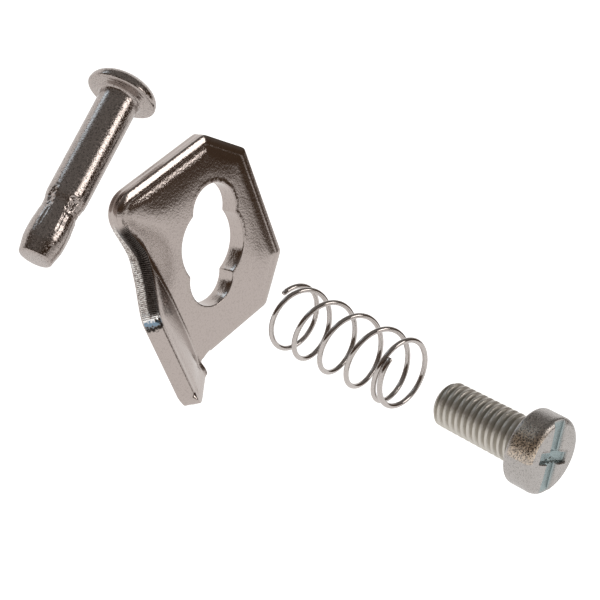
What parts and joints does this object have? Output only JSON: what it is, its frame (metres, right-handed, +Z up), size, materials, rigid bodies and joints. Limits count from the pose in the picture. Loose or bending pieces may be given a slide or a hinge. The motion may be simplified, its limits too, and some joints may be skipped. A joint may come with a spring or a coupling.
{
  "type": "stair gate latch",
  "caption": "Stair gate latch hardware: a bent plate with a keyhole slot at both ends, a coil spring, a slotted screw and a domed pin, laid out in the order they go together.",
  "frame": {"origin": "where the screw's axis crosses the front face of the latch plate, in the middle of the slot's lower lobe", "axes": "+Y along the screw and spring axis, from the screw's head towards the plate; +Z up; +X to the right when facing along +Y"},
  "size_m": [0.0369, 0.0661, 0.0379],
  "materials": {
    "pin_nickel": "bright nickel plate, polished",
    "plate_nickel": "bright nickel plate over a tumbled pressing",
    "spring_nickel": "bright nickel-plated wire",
    "screw_zinc": "clear zinc plate, satin"
  },
  "bodies": {
    "pin": {"domed_pin": "pin_nickel"},
    "plate": {"latch_plate": "plate_nickel"},
    "spring": {"compression_spring": "spring_nickel"},
    "screw": {"clamp_screw": "screw_zinc"}
  },
  "joints": [
    {"name": "screw_slide", "type": "slide", "parent": "pin", "child": "screw", "axis": [0, 1, 0], "range_m": [0, 0.0432]},
    {"name": "spring_slide", "type": "slide", "parent": "pin", "child": "spring", "axis": [0, 1, 0], "range_m": [0, 0.01335], "deforming": ["compression_spring"]},
    {"name": "plate_rock", "type": "hinge", "parent": "pin", "child": "plate", "pos_m": [0, 0, 0], "axis": [1, 0, 0], "range_deg": [0, 9.65]}
  ],
  "couplings": [
    {"joint": "spring_slide", "follows": "screw_slide", "ratio": 0.30787},
    {"joint": "plate_rock", "follows": "screw_slide", "rad_per_m": 3.8785}
  ]
}
